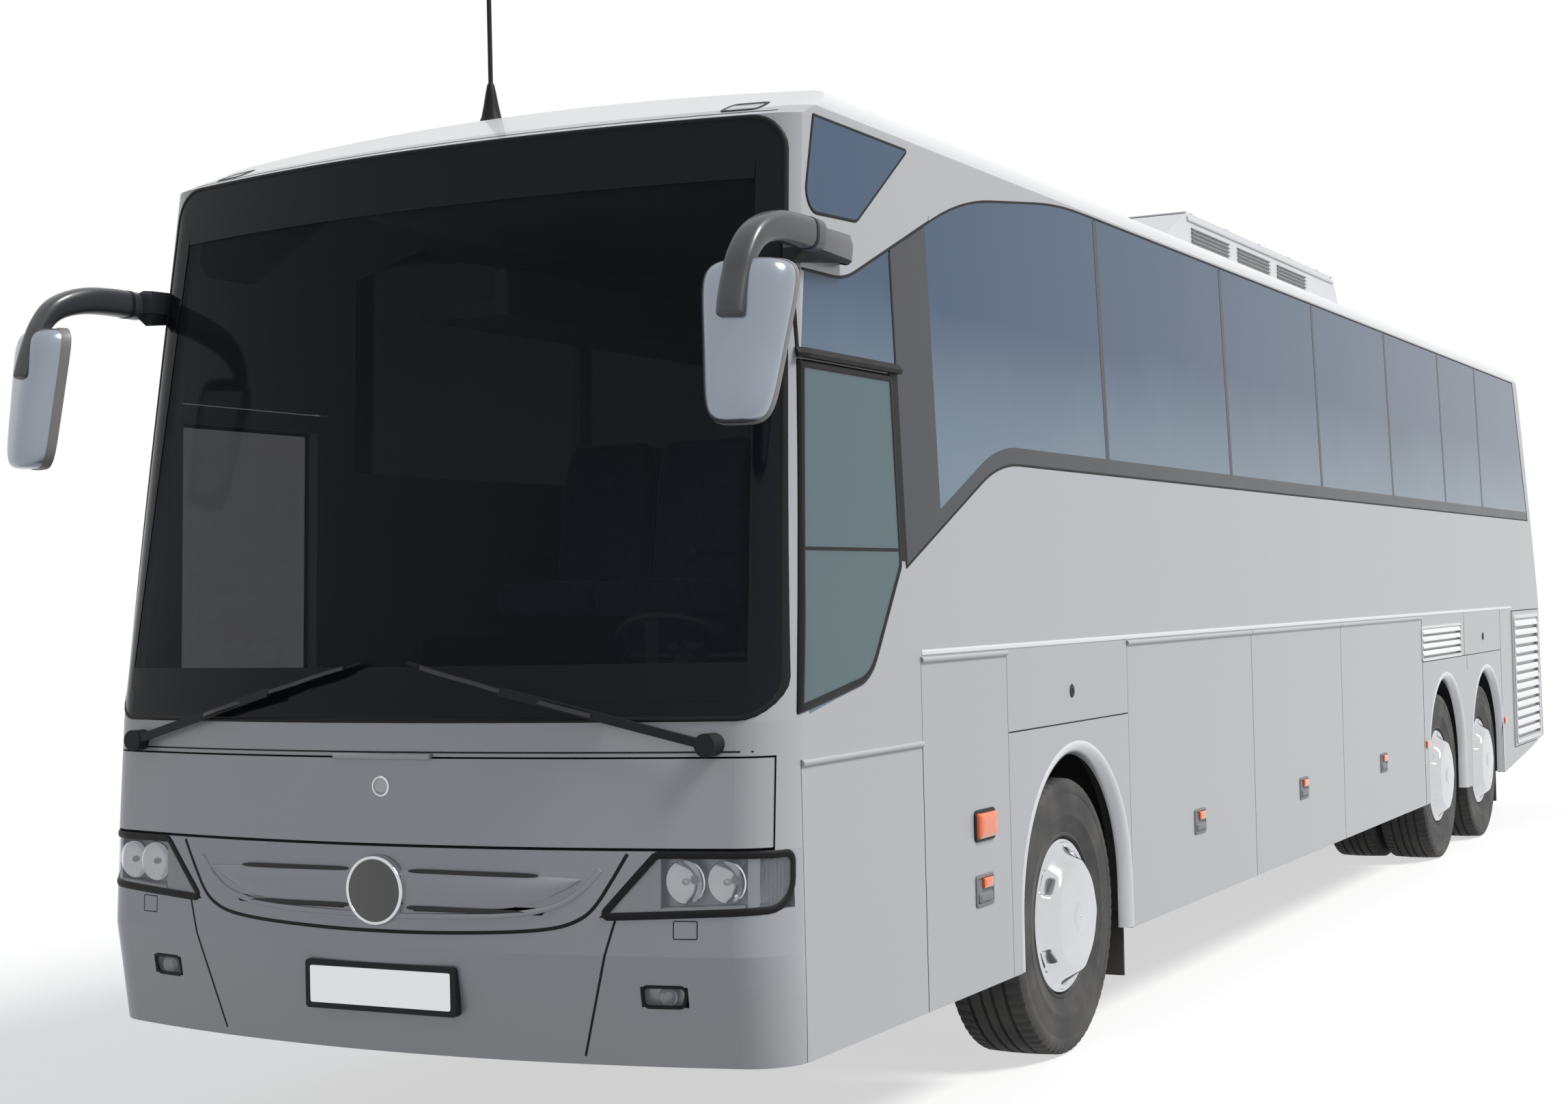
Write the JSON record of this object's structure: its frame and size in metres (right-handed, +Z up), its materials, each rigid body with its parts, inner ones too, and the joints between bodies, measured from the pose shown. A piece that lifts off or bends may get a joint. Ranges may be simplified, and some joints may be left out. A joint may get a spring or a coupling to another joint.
{
  "type": "coach bus",
  "caption": "High-deck touring coach on a single front axle and a rear bogie, with hinged luggage flaps, swing-arm doors, steering and turning wheels.",
  "frame": {"origin": "on the road, at the middle of the bounding box's length and width", "axes": "+X to the coach's left side, +Y to its rear, +Z up; it drives towards -Y"},
  "size_m": [2.956, 13.115, 3.95],
  "materials": {
    "body_paint": "metallic silver enamel, clear-coated",
    "bumper_paint": "metallic silver on moulded plastic",
    "tinted_glass": "blue-grey tinted, dark printed border",
    "screen_glass": "clear laminated, lightly tinted",
    "lamp_lens": "clear polycarbonate over bright reflectors",
    "red_lens": "moulded red lens",
    "black_trim": "grained black plastic",
    "mirror_shell": "silver painted shell",
    "tyre_rubber": "black rubber with a road tread",
    "wheel_steel": "bright trimmed steel wheel",
    "spring_rubber": "folded rubber bellows",
    "chassis_paint": "dark chassis enamel",
    "axle_iron": "painted cast and forged iron",
    "floor_sheet": "studded floor covering on board",
    "seat_cloth": "blue-grey moquette",
    "seat_frame": "grey powder coat",
    "dash_plastic": "soft grained plastic",
    "rack_trim": "light grey lining",
    "roof_plastic": "white gel-coated moulding",
    "wheel_grip": "black leather-bound rim"
  },
  "bodies": {
    "coach_body": {"roof_shell": "body_paint", "left_side_wall": "body_paint", "right_side_wall": "body_paint", "front_mask": "body_paint", "rear_wall": "body_paint", "windscreen": "screen_glass", "window_glass": "tinted_glass", "front_bumper": "bumper_paint", "front_grille": "body_paint", "headlamps": "lamp_lens", "rear_lamps": "red_lens", "mirror_arms": "black_trim", "mirror_heads": "mirror_shell", "wipers": "black_trim", "roof_units": "roof_plastic", "arch_panels": "body_paint", "antenna": "black_trim", "engine_block": "axle_iron", "front_axle": "axle_iron", "rear_axles": "axle_iron", "air_springs": "spring_rubber", "dashboard": "dash_plastic", "seats": "seat_cloth", "seat_legs": "seat_frame", "luggage_racks": "rack_trim", "mudflaps": "spring_rubber", "deck_floor": "floor_sheet", "underframe": "chassis_paint"},
    "front_flap": {"front_flap": "body_paint"},
    "driver_side_flap": {"driver_side_flap": "body_paint"},
    "left_locker_flap": {"left_locker_flap": "body_paint"},
    "radiator_flap": {"radiator_flap": "body_paint"},
    "engine_lid": {"engine_lid": "body_paint"},
    "steering_wheel": {"steering_wheel": "wheel_grip"},
    "luggage_flap_left_1": {"luggage_flap_left_1": "body_paint"},
    "luggage_flap_left_2": {"luggage_flap_left_2": "body_paint"},
    "luggage_flap_left_3": {"luggage_flap_left_3": "body_paint"},
    "luggage_flap_right_1": {"luggage_flap_right_1": "body_paint"},
    "luggage_flap_right_2": {"luggage_flap_right_2": "body_paint"},
    "luggage_flap_right_3": {"luggage_flap_right_3": "body_paint"},
    "left_knuckle": {"left_knuckle": "axle_iron"},
    "right_knuckle": {"right_knuckle": "axle_iron"},
    "front_door": {"front_door": "body_paint", "front_door_glass": "tinted_glass"},
    "front_door_swing_arm": {"front_door_arm": "black_trim"},
    "mid_door": {"mid_door": "body_paint", "mid_door_glass": "tinted_glass"},
    "mid_door_swing_arm": {"mid_door_arm": "black_trim"},
    "front_left_wheel": {"front_left_tyre": "tyre_rubber", "front_left_rim": "wheel_steel"},
    "front_right_wheel": {"front_right_tyre": "tyre_rubber", "front_right_rim": "wheel_steel"},
    "drive_left_wheel": {"drive_left_tyre": "tyre_rubber", "drive_left_rim": "wheel_steel"},
    "drive_right_wheel": {"drive_right_tyre": "tyre_rubber", "drive_right_rim": "wheel_steel"},
    "tag_left_wheel": {"tag_left_tyre": "tyre_rubber", "tag_left_rim": "wheel_steel"},
    "tag_right_wheel": {"tag_right_tyre": "tyre_rubber", "tag_right_rim": "wheel_steel"}
  },
  "joints": [
    {"name": "front_left_steer", "type": "hinge", "parent": "coach_body", "child": "left_knuckle", "pos_m": [0.86, -3.8425, 0.52], "axis": [0, 0, 1], "range_deg": [-40, 40]},
    {"name": "front_right_steer", "type": "hinge", "parent": "coach_body", "child": "right_knuckle", "pos_m": [-0.86, -3.8425, 0.52], "axis": [0, 0, 1], "range_deg": [-40, 40]},
    {"name": "steering_wheel_turn", "type": "hinge", "parent": "coach_body", "child": "steering_wheel", "pos_m": [0.64, -5.6425, 1.56], "axis": [0, 0.5736, 0.8192], "range_deg": [-640, 640]},
    {"name": "front_left_roll", "type": "hinge", "parent": "left_knuckle", "child": "front_left_wheel", "pos_m": [1.075, -3.8425, 0.52], "axis": [1, 0, 0], "continuous": true},
    {"name": "front_right_roll", "type": "hinge", "parent": "right_knuckle", "child": "front_right_wheel", "pos_m": [-1.075, -3.8425, 0.52], "axis": [1, 0, 0], "continuous": true},
    {"name": "drive_left_roll", "type": "hinge", "parent": "coach_body", "child": "drive_left_wheel", "pos_m": [1.075, 2.8875, 0.52], "axis": [1, 0, 0], "continuous": true},
    {"name": "drive_right_roll", "type": "hinge", "parent": "coach_body", "child": "drive_right_wheel", "pos_m": [-1.075, 2.8875, 0.52], "axis": [1, 0, 0], "continuous": true},
    {"name": "tag_left_roll", "type": "hinge", "parent": "coach_body", "child": "tag_left_wheel", "pos_m": [1.075, 4.2275, 0.52], "axis": [1, 0, 0], "continuous": true},
    {"name": "tag_right_roll", "type": "hinge", "parent": "coach_body", "child": "tag_right_wheel", "pos_m": [-1.075, 4.2275, 0.52], "axis": [1, 0, 0], "continuous": true},
    {"name": "driver_side_flap_lift", "type": "hinge", "parent": "coach_body", "child": "driver_side_flap", "pos_m": [1.275, -5.69, 1.26], "axis": [0, -1, 0], "range_deg": [0, 90]},
    {"name": "left_locker_flap_lift", "type": "hinge", "parent": "coach_body", "child": "left_locker_flap", "pos_m": [1.275, -4.8885, 1.53], "axis": [0, -1, 0], "range_deg": [0, 90]},
    {"name": "luggage_flap_left_1_lift", "type": "hinge", "parent": "coach_body", "child": "luggage_flap_left_1", "pos_m": [1.275, -2.357, 1.53], "axis": [0, -1, 0], "range_deg": [0, 90]},
    {"name": "luggage_flap_left_2_lift", "type": "hinge", "parent": "coach_body", "child": "luggage_flap_left_2", "pos_m": [1.275, -0.6295, 1.53], "axis": [0, -1, 0], "range_deg": [0, 90]},
    {"name": "luggage_flap_left_3_lift", "type": "hinge", "parent": "coach_body", "child": "luggage_flap_left_3", "pos_m": [1.275, 1.208, 1.53], "axis": [0, -1, 0], "range_deg": [0, 90]},
    {"name": "luggage_flap_right_1_lift", "type": "hinge", "parent": "coach_body", "child": "luggage_flap_right_1", "pos_m": [-1.275, -2.357, 1.53], "axis": [0, 1, 0], "range_deg": [0, 90]},
    {"name": "luggage_flap_right_2_lift", "type": "hinge", "parent": "coach_body", "child": "luggage_flap_right_2", "pos_m": [-1.275, -0.6295, 1.53], "axis": [0, 1, 0], "range_deg": [0, 90]},
    {"name": "luggage_flap_right_3_lift", "type": "hinge", "parent": "coach_body", "child": "luggage_flap_right_3", "pos_m": [-1.275, 0.798, 1.53], "axis": [0, 1, 0], "range_deg": [0, 90]},
    {"name": "front_flap_lift", "type": "hinge", "parent": "coach_body", "child": "front_flap", "pos_m": [0, -6.42115, 1.29], "axis": [-1, 0, 0], "range_deg": [0, 75]},
    {"name": "engine_lid_lift", "type": "hinge", "parent": "coach_body", "child": "engine_lid", "pos_m": [0, 6.49183, 1.49], "axis": [1, 0, 0], "range_deg": [0, 80]},
    {"name": "radiator_flap_swing", "type": "hinge", "parent": "coach_body", "child": "radiator_flap", "pos_m": [1.275, 5.2075, 1.53], "axis": [0, 0, -1], "range_deg": [0, 100]},
    {"name": "front_door_swing", "type": "hinge", "parent": "coach_body", "child": "front_door_swing_arm", "pos_m": [-1.13, -5.8725, 0.95], "axis": [0, 0, -1], "range_deg": [-120, 0]},
    {"name": "front_door_keep", "type": "hinge", "parent": "front_door_swing_arm", "child": "front_door", "pos_m": [-1.13, -5.4425, 0.95], "axis": [0, 0, -1], "range_deg": [0, 120]},
    {"name": "mid_door_swing", "type": "hinge", "parent": "coach_body", "child": "mid_door_swing_arm", "pos_m": [-1.13, 1.5725, 0.95], "axis": [0, 0, -1], "range_deg": [-120, 0]},
    {"name": "mid_door_keep", "type": "hinge", "parent": "mid_door_swing_arm", "child": "mid_door", "pos_m": [-1.13, 2.0025, 0.95], "axis": [0, 0, -1], "range_deg": [0, 120]}
  ],
  "couplings": [
    {"joint": "front_right_steer", "follows": "front_left_steer", "ratio": 1},
    {"joint": "steering_wheel_turn", "follows": "front_left_steer", "ratio": 16},
    {"joint": "front_door_keep", "follows": "front_door_swing", "ratio": -1},
    {"joint": "mid_door_keep", "follows": "mid_door_swing", "ratio": -1}
  ]
}
